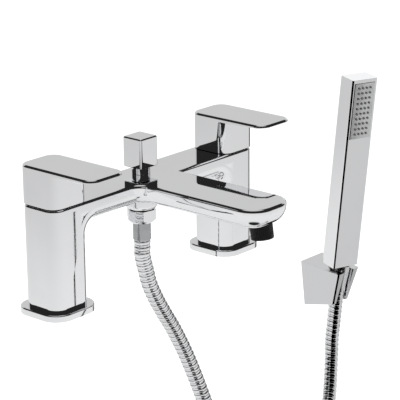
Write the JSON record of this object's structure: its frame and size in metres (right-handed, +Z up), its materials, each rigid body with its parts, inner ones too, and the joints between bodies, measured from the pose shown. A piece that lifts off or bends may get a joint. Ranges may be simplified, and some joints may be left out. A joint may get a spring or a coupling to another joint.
{
  "type": "bath shower mixer",
  "caption": "Deck-mounted two-pillar bath shower mixer with a flat broad spout, lever handles, pull-up diverter, ribbed hose and a slim handset in a wall bracket.",
  "frame": {"origin": "midway between the two inlets, on the deck plane that the base flanges stand on", "axes": "+X from the hot pillar to the cold one, -Y along the spout, +Z up from the deck"},
  "size_m": [0.4075, 0.2541, 0.3452],
  "materials": {
    "chrome": "polished plating",
    "hose_chrome": "polished ribs",
    "satin_steel": "satin",
    "brass": "machined",
    "ceramic": "lapped",
    "rubber": "matt",
    "black_plastic": "fine grain"
  },
  "bodies": {
    "mixer": {"mixer_body": "chrome", "hot_flange": "chrome", "cold_flange": "chrome", "diverter_bush": "chrome", "hose_nut": "chrome", "wall_bracket": "chrome", "hose_drop": "hose_chrome", "hose_coil": "hose_chrome", "hose_rise": "hose_chrome", "hose_collar": "satin_steel", "wall_plate": "satin_steel", "bracket_grub_screw": "satin_steel", "hot_cartridge": "brass", "cold_cartridge": "brass", "outlet_nipple": "brass", "hot_fixed_disc": "ceramic", "cold_fixed_disc": "ceramic", "hot_flange_seal": "rubber", "cold_flange_seal": "rubber", "hot_seat_seal": "rubber", "cold_seat_seal": "rubber", "diverter_seal": "rubber", "aerator_seal": "rubber", "hose_washer": "rubber", "aerator_housing": "black_plastic", "aerator_insert": "black_plastic", "hose_tie": "black_plastic"},
    "hot_lever": {"hot_handle": "chrome", "hot_grub_screw": "satin_steel", "hot_spindle": "brass", "hot_moving_disc": "ceramic"},
    "cold_lever": {"cold_handle": "chrome", "cold_grub_screw": "satin_steel", "cold_spindle": "brass", "cold_moving_disc": "ceramic"},
    "diverter": {"diverter_knob": "chrome", "diverter_spindle": "brass", "diverter_washer": "rubber"},
    "hose_end": {"hose_swivel": "brass"},
    "handset": {"handset_body": "chrome", "handset_spigot": "brass", "spray_plate": "satin_steel", "spray_nozzles": "rubber", "cone_nut": "chrome", "cone_washer": "rubber"}
  },
  "joints": [
    {"name": "hot_handle_turn", "type": "hinge", "parent": "mixer", "child": "hot_lever", "pos_m": [-0.09, 0, 0.08], "axis": [0, 0, -1], "range_deg": [0, 90]},
    {"name": "cold_handle_turn", "type": "hinge", "parent": "mixer", "child": "cold_lever", "pos_m": [0.09, 0, 0.08], "axis": [0, 0, 1], "range_deg": [0, 90]},
    {"name": "diverter_lift", "type": "slide", "parent": "mixer", "child": "diverter", "axis": [0, 0, 1], "range_m": [0, 0.006]},
    {"name": "handset_lift", "type": "slide", "parent": "mixer", "child": "hose_end", "axis": [0, -0.1045, 0.9945], "range_m": [0, 0.045]},
    {"name": "handset_turn", "type": "hinge", "parent": "hose_end", "child": "handset", "pos_m": [0.28, 0.0295, -0.072], "axis": [0, -0.1045, 0.9945], "range_deg": [-180, 180]}
  ]
}
